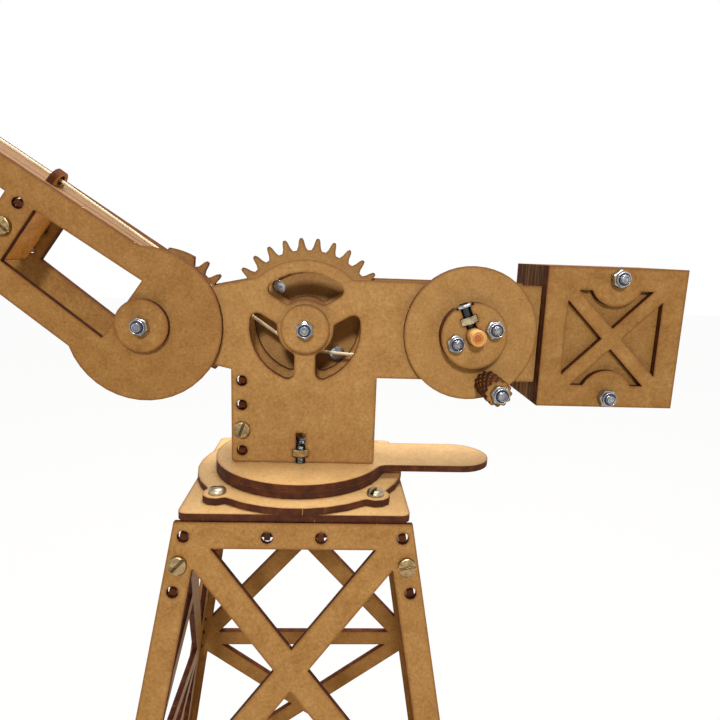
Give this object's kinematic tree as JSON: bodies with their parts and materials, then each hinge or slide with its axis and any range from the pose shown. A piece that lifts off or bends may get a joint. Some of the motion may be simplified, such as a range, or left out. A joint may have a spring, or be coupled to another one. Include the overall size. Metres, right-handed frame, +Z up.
{
  "type": "model tower crane",
  "caption": "Laser-cut fibreboard model crane: lattice tower, slewing body, luffing jib with toothed quadrant and gear, cranked winch with string and hook, box counterweight.",
  "frame": {"origin": "on the floor, at the middle of the tower's base plate, on the slewing axis", "axes": "+Z up, +X towards the counterweight, -Y towards the crank"},
  "size_m": [0.4471, 0.22, 0.5112],
  "materials": {
    "fibreboard": "raw laser-cut fibreboard with burnt edges",
    "dowel_wood": "raw pine",
    "zinc": "zinc plated",
    "cord": "twisted cotton"
  },
  "bodies": {
    "tower": {"base_plate": "fibreboard", "tower_panel_front": "fibreboard", "tower_panel_back": "fibreboard", "tower_panel_left": "fibreboard", "tower_panel_right": "fibreboard", "tower_head_plate": "fibreboard", "tower_top_plate": "fibreboard", "turntable_ring": "fibreboard", "ring_screw_1": "zinc", "ring_screw_2": "zinc", "ring_screw_3": "zinc", "ring_screw_4": "zinc"},
    "turntable": {"turntable_plate": "fibreboard", "turntable_lower_disc": "fibreboard", "body_plate_front": "fibreboard", "body_plate_back": "fibreboard", "body_cross_plate": "fibreboard", "hub_disc_front": "fibreboard", "hub_disc_back": "fibreboard", "string_spool": "fibreboard", "weight_core": "fibreboard", "weight_cover_front": "fibreboard", "weight_cover_back": "fibreboard", "weight_face_front": "fibreboard", "weight_face_back": "fibreboard", "foot_bolt_front": "zinc", "foot_bolt_back": "zinc", "slew_bolt": "zinc", "centre_bolt": "zinc", "weight_bolt_upper": "zinc", "weight_bolt_lower": "zinc", "string_lower": "cord", "string_upper": "cord"},
    "gear": {"drive_gear": "fibreboard"},
    "crank": {"crank_disc": "fibreboard", "crank_hub_inner": "fibreboard", "crank_hub_outer": "fibreboard", "winch_collar": "fibreboard", "winch_dowel": "dowel_wood", "crank_screw_left": "zinc", "crank_screw_right": "zinc", "set_bolt": "zinc", "knob_bolt": "zinc", "string_winding": "cord"},
    "knob": {"crank_knob": "dowel_wood"},
    "jib": {"jib_plate_front": "fibreboard", "jib_plate_back": "fibreboard", "jib_top_strip": "fibreboard", "jib_cross_plate_1": "fibreboard", "jib_cross_plate_2": "fibreboard", "jib_cross_plate_3": "fibreboard", "jib_sector_plate": "fibreboard", "pivot_disc_front": "fibreboard", "pivot_disc_back": "fibreboard", "jib_pivot_bolt": "zinc", "tip_axle": "zinc", "string_along_jib": "cord"},
    "sheave": {"tip_sheave": "fibreboard"},
    "fall": {"string_fall": "cord"},
    "hook": {"hook": "fibreboard"}
  },
  "joints": [
    {"name": "slew", "type": "hinge", "parent": "tower", "child": "turntable", "pos_m": [0, 0, 0.2972], "axis": [0, 0, 1], "continuous": true},
    {"name": "jib_luff", "type": "hinge", "parent": "turntable", "child": "jib", "pos_m": [-0.0675, 0, 0.3595], "axis": [0, 1, 0], "range_deg": [-24, 30], "deforming": ["string_upper"]},
    {"name": "gear_spin", "type": "hinge", "parent": "turntable", "child": "gear", "pos_m": [0.0015, 0, 0.3595], "axis": [0, 1, 0], "range_deg": [-27, 22]},
    {"name": "winch_crank", "type": "hinge", "parent": "turntable", "child": "crank", "pos_m": [0.0745, 0, 0.3595], "axis": [0, -1, 0], "range_deg": [0, 1400]},
    {"name": "knob_spin", "type": "hinge", "parent": "crank", "child": "knob", "pos_m": [0.08315, -0.0275, 0.33754], "axis": [0, 1, 0], "continuous": true},
    {"name": "tip_sheave_spin", "type": "hinge", "parent": "jib", "child": "sheave", "pos_m": [-0.25614, 0, 0.49455], "axis": [0, 1, 0], "range_deg": [0, 548]},
    {"name": "hook_swing", "type": "hinge", "parent": "jib", "child": "fall", "pos_m": [-0.25614, 0, 0.49455], "axis": [0, 1, 0], "range_deg": [-38, 60]},
    {"name": "hook_hoist", "type": "slide", "parent": "fall", "child": "hook", "axis": [0, 0, 1], "range_m": [0, 0.11], "deforming": ["string_fall"]}
  ],
  "couplings": [
    {"joint": "gear_spin", "follows": "jib_luff", "ratio": -0.87097},
    {"joint": "hook_hoist", "follows": "winch_crank", "m_per_rad": 0.0045},
    {"joint": "tip_sheave_spin", "follows": "winch_crank", "ratio": 0.3913}
  ]
}
